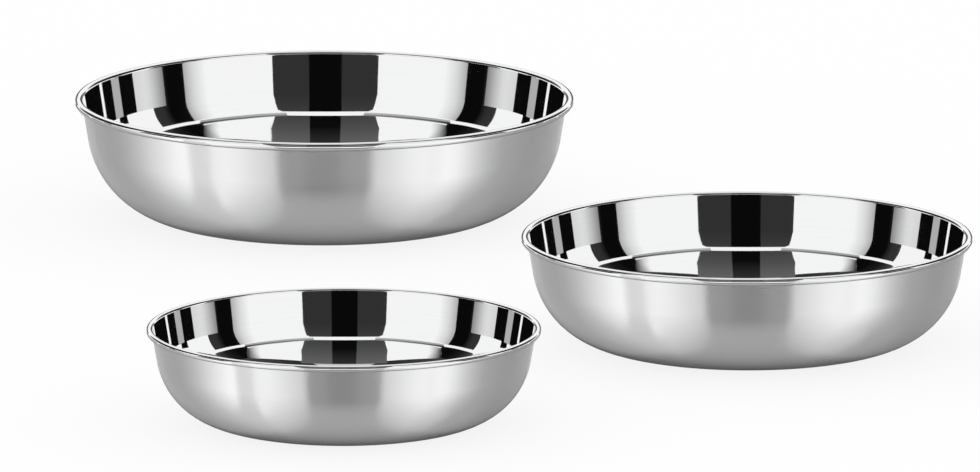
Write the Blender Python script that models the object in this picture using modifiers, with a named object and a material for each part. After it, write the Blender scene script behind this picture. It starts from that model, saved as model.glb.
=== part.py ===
"""Set of three round stainless steel pans in graded sizes, standing apart on a table.

Each pan is one drawn sheet: flat floor, rounded corner, flared wall and a rim rolled outwards.
The origin is the middle of the large pan's base. Sizes are in metres and +Z is up.
"""

from math import asin, atan2, cos, hypot, pi, radians, sin

import bpy

# Steel sheet, the same for all three pans
SHEET_THICKNESS = 0.0006
CURL_TURN_DEG = 290.0

# Large pan: over the rim, table to rim, flat of the floor, inside corner, over the rolled edge
LARGE_RIM_DIAMETER = 0.240
LARGE_HEIGHT = 0.0585
LARGE_FLOOR_DIAMETER = 0.138
LARGE_CORNER_RADIUS = 0.0445
LARGE_BEAD_DIAMETER = 0.0040

# Medium pan
MEDIUM_RIM_DIAMETER = 0.210
MEDIUM_HEIGHT = 0.0512
MEDIUM_FLOOR_DIAMETER = 0.1205
MEDIUM_CORNER_RADIUS = 0.039
MEDIUM_BEAD_DIAMETER = 0.0035

# Small pan
SMALL_RIM_DIAMETER = 0.180
SMALL_HEIGHT = 0.044
SMALL_FLOOR_DIAMETER = 0.103
SMALL_CORNER_RADIUS = 0.0335
SMALL_BEAD_DIAMETER = 0.0030

# Where the smaller pans stand: clear gap from the large pan's rim, and the way from its middle
MEDIUM_GAP = 0.1373
MEDIUM_BEARING_DEG = -56.7
SMALL_GAP = 0.2706
SMALL_BEARING_DEG = -88.44

# Smoothness of the turned shape
TURN_STEPS = 48
CORNER_STEPS = 8
CURL_STEPS = 11

# Satin steel
STEEL_COLOUR = (0.74, 0.75, 0.76, 1.0)
STEEL_ROUGHNESS = 0.22


def arc(centre, radius, start, end, steps):
    """Points on a circle from one angle to another, both ends included."""
    turns = [start + (end - start) * step / steps for step in range(steps + 1)]
    return [(centre[0] + radius * cos(turn), centre[1] + radius * sin(turn)) for turn in turns]


def inside_face(rim_diameter, height, floor_diameter, corner_radius, bead_diameter):
    """The sheet's inside face, from the middle of the floor up the wall and over the rolled rim."""
    bead_radius = bead_diameter / 2
    # The corner is never so large that the wall which rises from it would lean inwards
    upright_wall_corner = (rim_diameter - floor_diameter) / 2 - bead_diameter
    corner_radius = min(corner_radius, upright_wall_corner)
    corner = (floor_diameter / 2, SHEET_THICKNESS + corner_radius)
    bead = (rim_diameter / 2 - bead_radius, height - bead_radius)
    across = bead[0] - corner[0]
    up = bead[1] - corner[1]
    # The wall touches both circles, with the corner's middle inside it and the bead's outside
    wall = atan2(up, across) + asin((corner_radius + bead_radius) / hypot(across, up))
    rolled = wall + pi / 2
    points = [(0.0, SHEET_THICKNESS)]
    points += arc(corner, corner_radius, -pi / 2, wall - pi / 2, CORNER_STEPS)
    points += arc(bead, bead_radius, rolled, rolled - radians(CURL_TURN_DEG), CURL_STEPS)
    return points


def steel(name):
    """Satin stainless steel."""
    material = bpy.data.materials.new(name)
    material.use_nodes = True
    shader = material.node_tree.nodes["Principled BSDF"]
    shader.inputs["Base Color"].default_value = STEEL_COLOUR
    shader.inputs["Metallic"].default_value = 1.0
    shader.inputs["Roughness"].default_value = STEEL_ROUGHNESS
    return material


def add_pan(name, collection, face, place):
    """Turn the inside face about the pan's middle, then give the sheet its thickness outwards."""
    mesh = bpy.data.meshes.new(name)
    edges = [(i, i + 1) for i in range(len(face) - 1)]
    mesh.from_pydata([(across, 0.0, up) for across, up in face], edges, [])
    mesh.materials.append(steel(f"{name}_steel"))
    pan = bpy.data.objects.new(name, mesh)
    pan.location = (place[0], place[1], 0.0)
    collection.objects.link(pan)

    turn = pan.modifiers.new("turn", "SCREW")
    turn.axis = "Z"
    turn.steps = TURN_STEPS
    turn.render_steps = TURN_STEPS
    turn.use_merge_vertices = True
    turn.merge_threshold = 0.00001
    turn.use_smooth_shade = True

    sheet = pan.modifiers.new("sheet", "SOLIDIFY")
    sheet.thickness = SHEET_THICKNESS
    sheet.offset = -1.0
    sheet.use_even_offset = True
    return pan


def beside_large(rim_diameter, gap, bearing_deg):
    """Middle of a pan whose rim stands a clear gap from the large pan's rim."""
    distance = (LARGE_RIM_DIAMETER + rim_diameter) / 2 + gap
    return distance * cos(radians(bearing_deg)), distance * sin(radians(bearing_deg))


for old in list(bpy.data.objects):
    bpy.data.objects.remove(old)

pan_set = bpy.data.collections.new("round_steel_pan_set")
bpy.context.scene.collection.children.link(pan_set)

add_pan(
    "large_pan",
    pan_set,
    inside_face(
        LARGE_RIM_DIAMETER,
        LARGE_HEIGHT,
        LARGE_FLOOR_DIAMETER,
        LARGE_CORNER_RADIUS,
        LARGE_BEAD_DIAMETER,
    ),
    (0.0, 0.0),
)
add_pan(
    "medium_pan",
    pan_set,
    inside_face(
        MEDIUM_RIM_DIAMETER,
        MEDIUM_HEIGHT,
        MEDIUM_FLOOR_DIAMETER,
        MEDIUM_CORNER_RADIUS,
        MEDIUM_BEAD_DIAMETER,
    ),
    beside_large(MEDIUM_RIM_DIAMETER, MEDIUM_GAP, MEDIUM_BEARING_DEG),
)
add_pan(
    "small_pan",
    pan_set,
    inside_face(
        SMALL_RIM_DIAMETER,
        SMALL_HEIGHT,
        SMALL_FLOOR_DIAMETER,
        SMALL_CORNER_RADIUS,
        SMALL_BEAD_DIAMETER,
    ),
    beside_large(SMALL_RIM_DIAMETER, SMALL_GAP, SMALL_BEARING_DEG),
)
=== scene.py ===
"""Set of three round stainless steel pans, dressed for the photograph's view.

Every pan is one drawn sheet: a flat floor, a large rounded corner, a flared wall and a rim rolled
outwards. The sheet is mirror polished on its inside face, which the roll carries over the rim, and
brushed to a satin on its outside face. Lengths are in metres and +Z is up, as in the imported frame.
"""

from math import cos, hypot, pi, radians, sin

import bpy
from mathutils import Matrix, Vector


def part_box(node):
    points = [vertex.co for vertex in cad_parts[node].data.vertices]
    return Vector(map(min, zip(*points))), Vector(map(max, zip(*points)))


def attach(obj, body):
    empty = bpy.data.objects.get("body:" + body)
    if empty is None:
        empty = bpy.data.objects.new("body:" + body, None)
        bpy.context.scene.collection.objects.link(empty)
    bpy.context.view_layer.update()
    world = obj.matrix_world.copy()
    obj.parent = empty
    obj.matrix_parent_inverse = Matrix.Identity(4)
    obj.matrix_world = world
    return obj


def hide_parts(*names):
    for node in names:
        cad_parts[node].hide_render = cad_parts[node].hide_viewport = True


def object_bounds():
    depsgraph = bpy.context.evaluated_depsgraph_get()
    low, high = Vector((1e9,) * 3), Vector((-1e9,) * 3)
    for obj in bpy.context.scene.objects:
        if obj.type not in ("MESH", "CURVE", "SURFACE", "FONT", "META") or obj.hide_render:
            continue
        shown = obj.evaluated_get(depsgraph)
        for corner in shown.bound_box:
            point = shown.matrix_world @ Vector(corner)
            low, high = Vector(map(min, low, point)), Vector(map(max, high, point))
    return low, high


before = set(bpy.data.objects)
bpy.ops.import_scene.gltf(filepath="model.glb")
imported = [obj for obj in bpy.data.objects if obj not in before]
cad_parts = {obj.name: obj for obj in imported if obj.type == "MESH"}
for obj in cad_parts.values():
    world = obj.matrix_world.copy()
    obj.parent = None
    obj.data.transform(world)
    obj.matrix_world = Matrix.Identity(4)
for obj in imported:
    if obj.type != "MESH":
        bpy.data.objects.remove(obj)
cad_low, cad_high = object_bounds()

# Steel sheet, the same for all three pans
SHEET_THICKNESS = 0.0006
CURL_TURN = radians(290.0)

# Smoothness of the turned shape. A section has four stretches: floor, corner, wall and curl
TURN_STEPS = 192
STRETCH_STEPS = 24
STRETCHES = 4
SHEET_FACES = 2
MERGE_DISTANCE = 0.000005
FLAT_TOLERANCE = 0.00006

# Inside corner radius and size over the rolled edge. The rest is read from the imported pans
PANS = {
    "large_pan": {"Corner Radius": 0.0445, "Bead Diameter": 0.0040},
    "medium_pan": {"Corner Radius": 0.039, "Bead Diameter": 0.0035},
    "small_pan": {"Corner Radius": 0.0335, "Bead Diameter": 0.0030},
}

# What the pan tree is given
PAN_INPUTS = (
    ("Middle", "NodeSocketVector"),
    ("Rim Diameter", "NodeSocketFloat"),
    ("Height", "NodeSocketFloat"),
    ("Floor Diameter", "NodeSocketFloat"),
    ("Corner Radius", "NodeSocketFloat"),
    ("Bead Diameter", "NodeSocketFloat"),
    ("Sheet Thickness", "NodeSocketFloat"),
    ("Curl Turn", "NodeSocketFloat"),
    ("Turn Steps", "NodeSocketInt"),
    ("Stretch Steps", "NodeSocketInt"),
    ("Inside Finish", "NodeSocketMaterial"),
    ("Outside Finish", "NodeSocketMaterial"),
)

# Mirror polish inside
POLISH_COLOURS = (0.885, 0.89, 0.895, 1.0), (0.91, 0.912, 0.915, 1.0)
POLISH_ROUGHNESS = 0.02
POLISH_RING_SPACING = 0.0005
POLISH_RING_STREAKS = 2.0
POLISH_RING_ROUGHNESS = 0.012
POLISH_MARK_SIZE = 0.035
POLISH_MARK_ROUGHNESS = 0.02

# Satin outside
SATIN_COLOURS = (0.88, 0.882, 0.886, 1.0), (0.92, 0.921, 0.924, 1.0)
SATIN_ROUGHNESS = 0.20
SATIN_LINE_SPACING = 0.0001
SATIN_LINE_STREAKS = 5.0
SATIN_LINE_ROUGHNESS = 0.03
SATIN_LINE_STRENGTH = 0.05
SATIN_LINE_DEPTH = 0.00002
SATIN_MARK_SIZE = 0.05
SATIN_MARK_ROUGHNESS = 0.02
SATIN_SPREAD = 0.9
QUARTER_TURN = 0.25

# Sockets of a Mix node that mixes colours, which share their names with its other sockets
MIX_FACTOR = 0
MIX_FIRST = 6
MIX_SECOND = 7
MIX_RESULT = 2

# Camera: a long lens, far off and a little above the rims
CAMERA_LENS_MM = 675.1
CAMERA_SENSOR_MM = 36.0
CAMERA_DISTANCE = 8.6
CAMERA_RISE = radians(11.3)
CAMERA_AIM = (0.0796, -0.240, 0.0379)

# Studio
WHITE = (1.0, 1.0, 1.0, 1.0)
FLOOR_HALF_SIZE = 40.0
FLOOR_DROP = 0.0002
FLOOR_COLOUR = (0.97, 0.97, 0.97, 1.0)
FLOOR_ROUGHNESS = 0.9
FLOOR_WHITE_SHARE = 0.82
CARD_DISTANCE = 60.0
CARD_APART = 0.5
CARD_STEP = radians(3.0)


class Amount:
    """A number in a node tree. Arithmetic on it adds Math nodes to that tree."""

    def __init__(self, tree, socket):
        self.tree = tree
        self.socket = socket

    def math(self, operation, *others, clamp=False):
        node = self.tree.nodes.new("ShaderNodeMath")
        node.operation = operation
        node.use_clamp = clamp
        for socket, value in zip(node.inputs, (self, *others)):
            plug(self.tree, value, socket)
        return Amount(self.tree, node.outputs[0])

    def __add__(self, other):
        return self.math("ADD", other)

    def __sub__(self, other):
        return self.math("SUBTRACT", other)

    def __mul__(self, other):
        return self.math("MULTIPLY", other)

    def __truediv__(self, other):
        return self.math("DIVIDE", other)

    def share(self, start):
        """How far past a start this is, from 0 to 1, with the finest steps at both ends."""
        past = self.math("SUBTRACT", start, clamp=True)
        return past * past * (past * -2.0 + 3.0)


def plug(tree, value, socket):
    """Feed a socket from an Amount, another socket or a plain value."""
    if isinstance(value, Amount):
        value = value.socket
    if isinstance(value, bpy.types.NodeSocket):
        tree.links.new(value, socket)
    else:
        socket.default_value = value


def node(tree, kind, settings=None, **inputs):
    """Add a node, with its settings and its inputs by name, underscores standing for spaces."""
    made = tree.nodes.new(kind)
    for name, value in (settings or {}).items():
        setattr(made, name, value)
    for name, value in inputs.items():
        plug(tree, value, made.inputs[name.replace("_", " ")])
    return made


def amount(tree, made):
    """A node's first output, as an Amount."""
    return Amount(tree, made.outputs[0])


def combine(tree, x, y, z):
    """A vector from its three parts."""
    return node(tree, "ShaderNodeCombineXYZ", X=x, Y=y, Z=z).outputs[0]


def separate(tree, vector):
    """The three parts of a vector."""
    made = node(tree, "ShaderNodeSeparateXYZ", Vector=vector)
    return [Amount(tree, output) for output in made.outputs]


def vector_math(tree, operation, *values):
    """The vector that comes out of a Vector Math node."""
    made = node(tree, "ShaderNodeVectorMath", {"operation": operation})
    for socket, value in zip(made.inputs, values):
        plug(tree, value, socket)
    return made.outputs[0]


# The pans' shape


def reshape(tree, kind, geometry, settings=None, **inputs):
    """Pass a geometry through one more node."""
    return node(tree, kind, settings, Geometry=geometry, **inputs).outputs["Geometry"]


def pan_tree():
    """Turns one drawn sheet into a pan: both faces of its section, swept round the middle."""
    tree = bpy.data.node_groups.new("rolled_rim_pan", "GeometryNodeTree")
    tree.interface.new_socket("Pan", in_out="OUTPUT", socket_type="NodeSocketGeometry")
    for name, kind in PAN_INPUTS:
        tree.interface.new_socket(name, in_out="INPUT", socket_type=kind)
    given = tree.nodes.new("NodeGroupInput").outputs
    size = {name: Amount(tree, given[name]) for name, kind in PAN_INPUTS}

    # A grid: turns one way, the section's two faces the other
    rows = size["Stretch Steps"] * (STRETCHES * SHEET_FACES) + SHEET_FACES
    grid = node(
        tree,
        "GeometryNodeMeshGrid",
        Vertices_X=size["Turn Steps"] + 1,
        Vertices_Y=rows,
    )
    share_round, share_section, _ = separate(tree, grid.outputs["UV Map"])
    row = (share_section * (rows - 1)).math("ROUND")
    row_from_end = rows - 1 - row
    on_outside = row.math("GREATER_THAN", row_from_end)
    along = row.math("MINIMUM", row_from_end) / size["Stretch Steps"]
    shares = [along.share(stretch) for stretch in range(STRETCHES)]
    floor_share, corner_share, wall_share, curl_share = shares

    # The wall touches the corner's circle from inside and the bead's from outside.
    # The corner is never so large that the wall would lean inwards
    sheet = size["Sheet Thickness"]
    floor_radius = size["Floor Diameter"] / 2
    bead_radius = size["Bead Diameter"] / 2
    bead_across = size["Rim Diameter"] / 2 - bead_radius
    bead_up = size["Height"] - bead_radius
    across = bead_across - floor_radius
    corner_radius = size["Corner Radius"].math("MINIMUM", across - bead_radius)
    corner_up = sheet + corner_radius
    up = bead_up - corner_up
    both_radii = corner_radius + bead_radius
    between = (across * across + up * up).math("SQRT")
    wall_angle = up.math("ARCTAN2", across) + (both_radii / between).math("ARCSINE")
    wall_length = (between * between - both_radii * both_radii).math("SQRT")

    # Floor and corner, then wall, then curl, with the outside face a sheet thickness further out
    offset = on_outside * sheet
    corner_turn = corner_share * wall_angle - pi / 2
    lower_across = floor_radius * floor_share + (corner_radius + offset) * corner_turn.math("COSINE")
    lower_up = corner_up + (corner_radius + offset) * corner_turn.math("SINE")
    curl_turn = wall_angle + pi / 2 - curl_share * size["Curl Turn"]
    upper_across = bead_across + (bead_radius - offset) * curl_turn.math("COSINE")
    upper_up = bead_up + (bead_radius - offset) * curl_turn.math("SINE")
    radius = lower_across + (upper_across - lower_across) * wall_share
    height = lower_up + (upper_up - lower_up) * wall_share

    # Clockwise, so that the faces point away from the steel
    turn = share_round * (-2 * pi)
    place = combine(tree, radius * turn.math("COSINE"), radius * turn.math("SINE"), height)
    run = (
        floor_radius * floor_share
        + corner_radius * wall_angle * corner_share
        + wall_length * wall_share
        + bead_radius * size["Curl Turn"] * curl_share
    )

    # The marks that the finishes read, kept before the pan goes to its place
    pan = grid.outputs["Mesh"]
    for name, kind, domain, value in (
        ("pan_place", "FLOAT_VECTOR", "POINT", place),
        ("sheet_run", "FLOAT", "POINT", run),
        ("UVMap", "FLOAT2", "CORNER", grid.outputs["UV Map"]),
        ("outside_face", "BOOLEAN", "POINT", on_outside),
    ):
        settings = {"data_type": kind, "domain": domain}
        pan = reshape(
            tree, "GeometryNodeStoreNamedAttribute", pan, settings, Name=name, Value=value
        )
    spot = vector_math(tree, "ADD", place, size["Middle"])
    pan = reshape(tree, "GeometryNodeSetPosition", pan, Position=spot)
    pan = reshape(tree, "GeometryNodeMergeByDistance", pan, Distance=MERGE_DISTANCE)
    pan = reshape(tree, "GeometryNodeSetShadeSmooth", pan)
    pan = reshape(tree, "GeometryNodeRealizeInstances", pan)
    is_outside = node(
        tree, "GeometryNodeInputNamedAttribute", {"data_type": "BOOLEAN"}, Name="outside_face"
    )
    pan = reshape(tree, "GeometryNodeSetMaterial", pan, Material=size["Inside Finish"])
    pan = reshape(
        tree,
        "GeometryNodeSetMaterial",
        pan,
        Selection=is_outside.outputs["Attribute"],
        Material=size["Outside Finish"],
    )
    node(tree, "NodeGroupOutput", Pan=pan)
    return tree


def packed_sizes(name):
    """Where a packed pan stands, and its rim, height and flat of the floor."""
    low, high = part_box(name)
    middle = ((low.x + high.x) / 2, (low.y + high.y) / 2, low.z)
    flat = [
        hypot(vertex.co.x - middle[0], vertex.co.y - middle[1])
        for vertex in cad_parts[name].data.vertices
        if vertex.co.z < low.z + FLAT_TOLERANCE
    ]
    return {
        "Middle": middle,
        "Rim Diameter": high.x - low.x,
        "Height": high.z - low.z,
        "Floor Diameter": 2 * max(flat),
    }


def make_pan(name, tree, sizes):
    """One pan as a plain mesh, from the tree and its sizes."""
    pan = bpy.data.objects.new(f"{name}_sheet", bpy.data.meshes.new(f"{name}_blank"))
    bpy.context.scene.collection.objects.link(pan)
    turned = pan.modifiers.new("turned sheet", "NODES")
    turned.node_group = tree
    for item in tree.interface.items_tree:
        if item.in_out == "INPUT":
            turned[item.identifier] = sizes[item.name]
    depsgraph = bpy.context.evaluated_depsgraph_get()
    mesh = bpy.data.meshes.new_from_object(
        pan.evaluated_get(depsgraph), preserve_all_data_layers=True, depsgraph=depsgraph
    )
    mesh.name = f"{name}_sheet"
    pan.modifiers.clear()
    pan.data = mesh
    return pan


# The finishes of the steel


def shader_group(name, inputs, outputs):
    """A shader node group with named sockets, and its inputs by name."""
    group = bpy.data.node_groups.new(name, "ShaderNodeTree")
    for direction, sockets in (("INPUT", inputs), ("OUTPUT", outputs)):
        for label, kind in sockets:
            group.interface.new_socket(label, in_out=direction, socket_type=kind)
    given = group.nodes.new("NodeGroupInput").outputs
    return group, {label: Amount(group, given[label]) for label, kind in inputs}


def turned_lines_group():
    """Fine lines that run round the pan, as polishing and brushing on a turning pan leave them."""
    group, given = shader_group(
        "turned_lines",
        (
            ("Place", "NodeSocketVector"),
            ("Run", "NodeSocketFloat"),
            ("Spacing", "NodeSocketFloat"),
            ("Streaks", "NodeSocketFloat"),
        ),
        (("Lines", "NodeSocketFloat"),),
    )
    level = vector_math(group, "MULTIPLY", given["Place"], (1.0, 1.0, 0.0))
    outward = vector_math(group, "NORMALIZE", level)
    x, y, _ = separate(group, outward)
    streaks = given["Streaks"]
    weave = combine(group, x * streaks, y * streaks, given["Run"] / given["Spacing"])
    noise = node(group, "ShaderNodeTexNoise", Vector=weave, Scale=1.0, Detail=2.0, Roughness=0.6)
    spread = node(
        group, "ShaderNodeMapRange", Value=noise.outputs[0], From_Min=0.3, From_Max=0.7
    )
    node(group, "NodeGroupOutput", Lines=spread.outputs[0])
    return group


def handling_marks_group():
    """Broad faint patches where the steel has been handled and wiped."""
    group, given = shader_group(
        "handling_marks",
        (("Place", "NodeSocketVector"), ("Size", "NodeSocketFloat")),
        (("Marks", "NodeSocketFloat"),),
    )
    noise = node(
        group,
        "ShaderNodeTexNoise",
        Vector=given["Place"],
        Scale=given["Size"].math("POWER", -1.0),
        Detail=4.0,
        Roughness=0.55,
    )
    patches = node(
        group,
        "ShaderNodeMapRange",
        {"interpolation_type": "SMOOTHSTEP"},
        Value=noise.outputs[0],
        From_Min=0.45,
        From_Max=0.70,
    )
    node(group, "NodeGroupOutput", Marks=patches.outputs[0])
    return group


def use_group(tree, group, **inputs):
    """A shader group's output in a material, from the material's own values."""
    return amount(tree, node(tree, "ShaderNodeGroup", {"node_tree": group}, **inputs))


def new_finish(name):
    """An empty steel finish, its shader, and the marks that the pan tree left on the sheet."""
    material = bpy.data.materials.new(name)
    material.use_nodes = True
    tree = material.node_tree
    shader = tree.nodes["Principled BSDF"]
    shader.inputs["Metallic"].default_value = 1.0
    place = node(tree, "ShaderNodeAttribute", {"attribute_name": "pan_place"}).outputs["Vector"]
    run = node(tree, "ShaderNodeAttribute", {"attribute_name": "sheet_run"}).outputs["Fac"]
    return material, tree, shader, place, run


def mix_colours(tree, factor, first, second):
    """The first colour where the factor is 0, and the second where it is 1."""
    made = node(tree, "ShaderNodeMix", {"data_type": "RGBA"})
    plug(tree, factor, made.inputs[MIX_FACTOR])
    plug(tree, first, made.inputs[MIX_FIRST])
    plug(tree, second, made.inputs[MIX_SECOND])
    return made.outputs[MIX_RESULT]


def polished_steel(lines, marks):
    """Mirror polish, with the faint rings of the polishing wheel and a breath of handling."""
    material, tree, shader, place, run = new_finish("polished_steel")
    rings = use_group(
        tree,
        lines,
        Place=place,
        Run=run,
        Spacing=POLISH_RING_SPACING,
        Streaks=POLISH_RING_STREAKS,
    )
    hands = use_group(tree, marks, Place=place, Size=POLISH_MARK_SIZE)
    plug(tree, mix_colours(tree, rings, *POLISH_COLOURS), shader.inputs["Base Color"])
    wear = rings * POLISH_RING_ROUGHNESS + hands * POLISH_MARK_ROUGHNESS
    plug(tree, wear + POLISH_ROUGHNESS, shader.inputs["Roughness"])
    return material


def satin_steel(lines, marks):
    """Brushed on a turning pan: the lines spread a reflection up and down and keep its sides."""
    material, tree, shader, place, run = new_finish("satin_steel")
    brush = use_group(
        tree,
        lines,
        Place=place,
        Run=run,
        Spacing=SATIN_LINE_SPACING,
        Streaks=SATIN_LINE_STREAKS,
    )
    hands = use_group(tree, marks, Place=place, Size=SATIN_MARK_SIZE)
    plug(tree, mix_colours(tree, brush, *SATIN_COLOURS), shader.inputs["Base Color"])
    wear = brush * SATIN_LINE_ROUGHNESS + hands * SATIN_MARK_ROUGHNESS
    plug(tree, wear + SATIN_ROUGHNESS, shader.inputs["Roughness"])
    ridges = node(
        tree,
        "ShaderNodeBump",
        Strength=SATIN_LINE_STRENGTH,
        Distance=SATIN_LINE_DEPTH,
        Height=brush,
    )
    plug(tree, ridges.outputs["Normal"], shader.inputs["Normal"])
    around = vector_math(tree, "CROSS_PRODUCT", (0.0, 0.0, 1.0), place)
    plug(tree, vector_math(tree, "NORMALIZE", around), shader.inputs["Tangent"])
    shader.inputs["Anisotropic"].default_value = SATIN_SPREAD
    shader.inputs["Anisotropic Rotation"].default_value = QUARTER_TURN
    return material


# The studio


def stage_mesh(name, vertices, faces, material):
    """A mesh that belongs to the studio and not to the part."""
    mesh = bpy.data.meshes.new(name)
    mesh.from_pydata(vertices, [], faces)
    mesh.materials.append(material)
    made = bpy.data.objects.new(name, mesh)
    bpy.context.scene.collection.objects.link(made)
    return made


def floor():
    """Plain pale floor that shows as white and keeps the pans' soft shadows."""
    material = bpy.data.materials.new("pale_floor")
    material.use_nodes = True
    tree = material.node_tree
    shader = tree.nodes["Principled BSDF"]
    shader.inputs["Base Color"].default_value = FLOOR_COLOUR
    shader.inputs["Roughness"].default_value = FLOOR_ROUGHNESS
    shader.inputs["Specular IOR Level"].default_value = 0.0
    white = node(tree, "ShaderNodeEmission", Color=WHITE, Strength=1.0)
    path = node(tree, "ShaderNodeLightPath").outputs
    seen = Amount(tree, path["Is Camera Ray"])
    for kind in ("Is Glossy Ray", "Is Transmission Ray"):
        seen = seen.math("MAXIMUM", Amount(tree, path[kind]))
    mixed = node(tree, "ShaderNodeMixShader", Fac=seen * FLOOR_WHITE_SHARE)
    plug(tree, shader.outputs[0], mixed.inputs[1])
    plug(tree, white.outputs[0], mixed.inputs[2])
    plug(tree, mixed.outputs[0], tree.nodes["Material Output"].inputs["Surface"])
    half = FLOOR_HALF_SIZE
    up = cad_low.z - FLOOR_DROP
    corners = [(-half, -half, up), (half, -half, up), (half, half, up), (-half, half, up)]
    made = stage_mesh("floor", corners, [(0, 1, 2, 3)], material)
    # In the steel the floor's place is taken by the low cards, which carry a painted shadow of the
    # pans
    made.visible_glossy = False


def studio_light():
    """Even white light from all round, as in a white tent."""
    world = bpy.data.worlds.new("white_tent")
    world.use_nodes = True
    tent = world.node_tree.nodes["Background"]
    tent.inputs["Color"].default_value = WHITE
    tent.inputs["Strength"].default_value = 1.0
    bpy.context.scene.world = world


def card_surface():
    """The plain face of every card, as bright as the card's own mark says."""
    material = bpy.data.materials.new("studio_card")
    material.use_nodes = True
    tree = material.node_tree
    tree.nodes.remove(tree.nodes["Principled BSDF"])
    mark = node(tree, "ShaderNodeAttribute", {"attribute_name": "card_brightness"})
    light = node(tree, "ShaderNodeEmission", Color=mark.outputs["Color"], Strength=1.0)
    plug(tree, light.outputs[0], tree.nodes["Material Output"].inputs["Surface"])
    return material


def over_top(side, pitch):
    """Direction by pitch, up from the front and over to the back, and side, out from the middle."""
    return sin(side), -cos(side) * cos(pitch), cos(side) * sin(pitch)


def out_right(pitch, side):
    """The same by side first, for a card laid outwards from the middle to the right."""
    return over_top(side, pitch)


def out_left(pitch, side):
    """The same, to the left."""
    return over_top(-side, pitch)


def to_right(elevation, azimuth):
    """Direction by azimuth, from the front round the right to the back, and elevation."""
    return sin(azimuth) * cos(elevation), -cos(azimuth) * cos(elevation), sin(elevation)


def to_left(elevation, azimuth):
    """The same, round the left."""
    return to_right(elevation, -azimuth)


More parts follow.
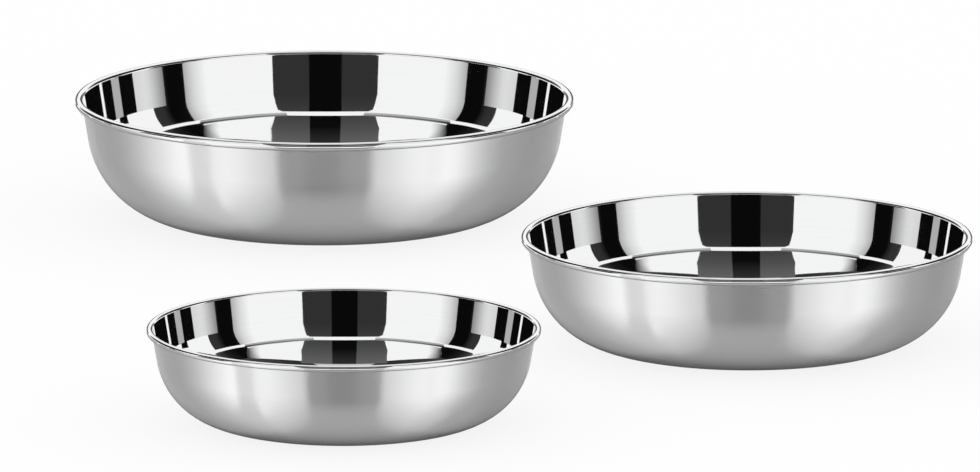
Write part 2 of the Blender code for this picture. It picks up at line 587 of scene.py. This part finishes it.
# Cards round the set, from the furthest to the nearest, each with the ways it is laid.
# Rows are pitch, side from, side to and brightness over the top,
# side, pitch from, pitch to and brightness out from the middle,
# and azimuth, elevation from, elevation to and brightness round the sides.
# A card that fades across has two brightnesses in each row
CARDS = (
    # The floor as the steel sees it, with painted shade: darker behind and under the pans, where
    # their own shadow falls
    (
        "floor_and_shadow_card",
        (over_top,),
        (
            (-170.0, -85.0, 85.0, 0.60),
            (-150.0, -85.0, 85.0, 0.40),
            (-130.0, -85.0, 85.0, 0.42),
            (-110.0, -85.0, 85.0, 0.52),
            (-90.0, -85.0, 85.0, 0.64),
            (-65.0, -85.0, 85.0, 0.85),
            (-40.0, -85.0, 85.0, 1.0),
        ),
    ),
    (
        "low_side_card",
        (to_right,),
        (
            (60.0, -60.0, -8.0, 0.86, 1.06),
            (64.0, -58.0, -8.0, 0.84, 1.26),
            (72.0, -55.0, -8.0, 0.76, 1.18),
            (80.0, -52.0, -8.0, 0.68, 0.87),
            (90.0, -50.0, -8.0, 0.55, 0.56),
            (100.0, -50.0, -8.0, 0.44, 0.37),
            (125.0, -60.0, -9.0, 0.38, 0.32),
            (150.0, -58.0, -11.0, 0.34, 0.40),
        ),
    ),
    (
        "low_side_card",
        (to_left,),
        (
            (60.0, -60.0, -8.0, 1.0, 1.05),
            (68.0, -58.0, -8.0, 1.04, 1.26),
            (78.0, -56.0, -8.0, 0.98, 1.20),
            (87.0, -55.0, -8.0, 0.86, 0.98),
            (95.0, -54.0, -8.0, 0.76, 0.82),
            (104.0, -52.0, -8.0, 0.64, 0.58),
            (114.0, -48.0, -8.0, 0.53, 0.44),
            (127.0, -45.0, -9.0, 0.42, 0.38),
            (150.0, -45.0, -11.0, 0.42, 0.42),
        ),
    ),
    # Painted shade: dark cards that stand in for the floor in the pans' own shadow, under and behind
    # their bases, darkest in the middle
    (
        "base_shade",
        (over_top,),
        (
            (-165.0, -26.0, 26.0, 0.49, 0.38),
            (-150.0, -32.0, 32.0, 0.42, 0.31),
            (-135.0, -36.0, 36.0, 0.40, 0.30),
            (-118.0, -38.0, 38.0, 0.49, 0.42),
        ),
    ),
    (
        "base_half_shade",
        (over_top,),
        (
            (-165.0, -14.0, 14.0, 0.35, 0.30),
            (-147.0, -20.0, 20.0, 0.30, 0.24),
            (-130.0, -24.0, 24.0, 0.36, 0.32),
            (-115.0, -25.0, 25.0, 0.44, 0.42),
        ),
    ),
    (
        "base_deep_shade",
        (over_top,),
        (
            (-165.0, -7.0, 7.0, 0.02),
            (-145.0, -10.0, 10.0, 0.05),
            (-130.0, -13.0, 13.0, 0.16),
            (-112.0, -16.0, 16.0, 0.30),
        ),
    ),
    (
        "front_fade",
        (out_right, out_left),
        (
            (14.0, -112.0, -14.0, 0.46, 0.48),
            (18.0, -104.0, -14.0, 0.57, 0.60),
            (24.0, -90.0, -14.0, 0.66, 0.75),
            (32.0, -74.0, -14.0, 0.80, 0.89),
            (40.0, -66.0, -14.0, 0.94, 1.04),
            (46.0, -60.0, -14.0, 1.0, 1.10),
        ),
    ),
    (
        "low_front_card",
        (over_top,),
        (
            (-112.0, -13.5, 13.5, 0.30),
            (-90.0, -13.5, 13.5, 0.40),
            (-70.0, -14.0, 14.0, 0.42),
            (-55.0, -16.0, 16.5, 0.44),
            (-38.0, -19.0, 20.0, 0.29),
            (-26.0, -21.5, 22.5, 0.16),
            (-14.0, -22.0, 23.5, 0.13),
        ),
    ),
    (
        "low_front_stripe",
        (over_top,),
        (
            (-54.0, -8.2, 8.2, 0.43),
            (-38.0, -8.2, 8.2, 0.26),
            (-26.0, -8.1, 8.1, 0.06),
            (-14.0, -8.0, 8.0, 0.04),
        ),
    ),
    ("horizon_line", (over_top,), ((-13.5, -24.0, 24.0, 2.0), (-1.5, -26.0, 26.0, 2.0))),
    (
        "left_streak",
        (over_top,),
        (
            (-108.0, -33.0, -22.0, 0.57),
            (-95.0, -42.0, -29.0, 0.62),
            (-82.0, -47.0, -33.5, 0.64),
            (-70.0, -53.0, -39.0, 0.67),
            (-55.0, -60.0, -47.5, 0.77),
            (-38.0, -63.0, -51.5, 0.80),
            (-23.0, -66.0, -54.0, 0.82),
            (-9.0, -66.5, -55.0, 0.84),
        ),
    ),
    (
        "front_card",
        (over_top,),
        (
            (-1.0, -26.0, 26.0, 0.030),
            (8.0, -25.4, 25.4, 0.032),
            (20.0, -23.9, 23.9, 0.040),
            (28.0, -22.4, 22.4, 0.046),
            (30.3, -20.0, 20.0, 0.05),
        ),
    ),
    ("ceiling_card", (over_top,), ((74.0, -55.0, 55.0, 0.60), (120.0, -50.0, 50.0, 0.75))),
    (
        "wing_fade",
        (to_right, to_left),
        (
            (62.0, 31.5, 36.0, 0.90, 1.0),
            (66.0, 31.3, 40.0, 0.55, 1.0),
            (70.0, 31.0, 46.0, 0.10, 1.0),
            (72.0, 33.5, 50.0, 0.03, 1.0),
            (80.0, 42.5, 62.0, 0.003, 1.0),
        ),
    ),
    (
        "shoulder_strip",
        (to_right, to_left),
        (
            (44.0, 66.5, 83.0, 0.03),
            (60.0, 57.0, 80.0, 0.03),
            (75.0, 46.5, 76.0, 0.05),
            (90.0, 34.0, 71.0, 0.06),
            (100.0, 22.0, 64.0, 0.03),
            (107.0, 15.0, 58.0, 0.003),
            (119.0, 8.0, 48.0, 0.003),
            (134.0, 6.0, 36.0, 0.02),
            (155.0, 5.0, 22.0, 0.10),
        ),
    ),
    (
        "back_edge",
        (to_right, to_left),
        ((158.0, -3.0, 7.0, 0.25), (170.0, -5.0, 8.0, 0.12), (180.0, -6.0, 9.0, 0.08)),
    ),
    ("front_stripe", (over_top,), ((-1.0, -7.9, 7.9, 0.003), (30.3, -7.6, 7.6, 0.003))),
    (
        "overhead_card",
        (over_top,),
        (
            (35.5, -21.0, 21.0, 0.06),
            (37.5, -23.0, 23.0, 0.06),
            (53.6, -22.6, 22.6, 0.085),
            (64.7, -20.5, 20.5, 0.11),
            (76.0, -18.5, 18.5, 0.13),
        ),
    ),
    (
        "overhead_stripe",
        (over_top,),
        ((35.5, -7.1, 7.1, 0.003), (50.0, -6.5, 6.5, 0.004), (76.0, -5.0, 5.0, 0.03)),
    ),
    (
        "ring_low_line",
        (to_right, to_left),
        (
            (21.0, 30.0, 32.2, 0.50),
            (45.0, 28.4, 30.8, 0.42),
            (60.0, 26.8, 29.0, 0.40),
            (70.0, 25.2, 27.2, 0.45),
        ),
    ),
    (
        "ring_high_line",
        (to_right, to_left),
        (
            (21.0, 32.2, 34.2, 0.25),
            (45.0, 30.8, 32.8, 0.17),
            (60.0, 29.0, 31.0, 0.14),
            (71.0, 27.0, 29.6, 0.03),
        ),
    ),
    (
        "side_shade",
        (to_right, to_left),
        ((60.0, -1.0, 25.0, 1.0), (67.0, -1.0, 24.8, 0.75), (72.6, -1.0, 24.6, 0.45)),
    ),
    (
        "side_bar",
        (to_right, to_left),
        (
            (72.5, -1.0, 24.6, 0.003),
            (83.0, -1.0, 22.6, 0.003),
            (87.5, -1.0, 21.8, 0.030),
            (93.4, -1.0, 20.6, 0.035),
        ),
    ),
    (
        "side_wing",
        (to_right, to_left),
        (
            (70.0, 28.4, 31.0, 0.02),
            (72.0, 28.0, 33.5, 0.003),
            (80.0, 26.3, 42.5, 0.003),
            (88.0, 25.0, 40.0, 0.012),
            (94.0, 24.0, 36.0, 0.045),
            (96.5, 24.0, 33.0, 0.12),
        ),
    ),
    (
        "side_wall",
        (to_right, to_left),
        (
            (84.8, -3.0, 3.1, 0.26),
            (88.0, -3.0, 2.8, 0.42),
            (91.0, -3.0, 2.6, 0.57),
            (95.0, -3.0, 2.2, 0.74),
            (98.0, -3.0, 1.8, 0.79),
            (106.0, -3.0, 0.9, 0.72),
        ),
    ),
    ("rear_low_bar", (to_right, to_left), ((105.5, -4.0, 1.0, 0.003), (117.0, -4.0, -0.2, 0.003))),
    ("rear_high_bar", (to_right, to_left), ((114.0, -3.0, 6.0, 0.003), (121.0, -3.0, 3.5, 0.003))),
    ("rear_wall", (to_right, to_left), ((117.0, -5.0, -0.2, 0.45), (124.0, -5.0, -1.0, 0.45))),
    ("rear_bar", (to_right, to_left), ((124.0, -6.0, -1.0, 0.003), (134.0, -7.0, -2.0, 0.003))),
    ("back_bar", (to_right, to_left), ((137.0, -7.5, -2.5, 0.003), (165.0, -11.0, -5.0, 0.003))),
)


def show_in_steel_only(made, brightness):
    """Mark a studio mesh with its brightness and hide it from all but the steel."""
    mark = made.data.attributes.new("card_brightness", "FLOAT", "POINT")
    mark.data.foreach_set("value", brightness)
    made.visible_camera = False
    made.visible_diffuse = False
    made.visible_shadow = False


def card(name, laid, rows, distance, material):
    """A far-off card that shows only in the steel, spanned from row to row."""
    widest = max(row[2] - row[1] for row in rows)
    columns = max(1, round(radians(widest) / CARD_STEP))
    vertices = []
    brightness = []
    for lower, upper in zip(rows, rows[1:]):
        steps = max(1, round(radians(upper[0] - lower[0]) / CARD_STEP))
        for i in range(steps + (upper is rows[-1])):
            along, start, end, *bright = [
                low + (high - low) * i / steps for low, high in zip(lower, upper)
            ]
            for j in range(columns + 1):
                across = start + (end - start) * j / columns
                direction = laid(radians(across), radians(along))
                vertices.append([distance * part for part in direction])
                brightness.append(bright[0] + (bright[-1] - bright[0]) * j / columns)
    width = columns + 1
    faces = [
        (k, k + 1, k + 1 + width, k + width)
        for k in range(len(vertices) - width)
        if (k + 1) % width
    ]
    show_in_steel_only(stage_mesh(name, vertices, faces, material), brightness)


def cards():
    """All the cards, each a little nearer than the last, so that later ones lie over earlier ones."""
    material = card_surface()
    for order, (name, ways, rows) in enumerate(CARDS):
        distance = CARD_DISTANCE - CARD_APART * order
        for laid in ways:
            card(f"{name}_{laid.__name__}", laid, rows, distance, material)


def camera():
    """The photograph's view, level from side to side."""
    lens = bpy.data.cameras.new("long_lens")
    lens.lens = CAMERA_LENS_MM
    lens.sensor_width = CAMERA_SENSOR_MM
    made = bpy.data.objects.new("camera", lens)
    made.location = (
        CAMERA_AIM[0],
        CAMERA_AIM[1] - CAMERA_DISTANCE * cos(CAMERA_RISE),
        CAMERA_AIM[2] + CAMERA_DISTANCE * sin(CAMERA_RISE),
    )
    made.rotation_euler = (pi / 2 - CAMERA_RISE, 0.0, 0.0)
    bpy.context.scene.collection.objects.link(made)
    bpy.context.scene.camera = made


# Making the set

lines = turned_lines_group()
marks = handling_marks_group()
finishes = {
    "Inside Finish": polished_steel(lines, marks),
    "Outside Finish": satin_steel(lines, marks),
}
steel_sheet = {
    "Sheet Thickness": SHEET_THICKNESS,
    "Curl Turn": CURL_TURN,
    "Turn Steps": TURN_STEPS,
    "Stretch Steps": STRETCH_STEPS,
}
shape = pan_tree()
for name, own_sizes in PANS.items():
    pan = make_pan(name, shape, packed_sizes(name) | own_sizes | steel_sheet | finishes)
    # The steel shows only the studio, not the pans themselves
    pan.visible_glossy = False
    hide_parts(name)
    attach(pan, name)

camera()
studio_light()
floor()
cards()

bpy.context.scene.view_settings.view_transform = "Standard"
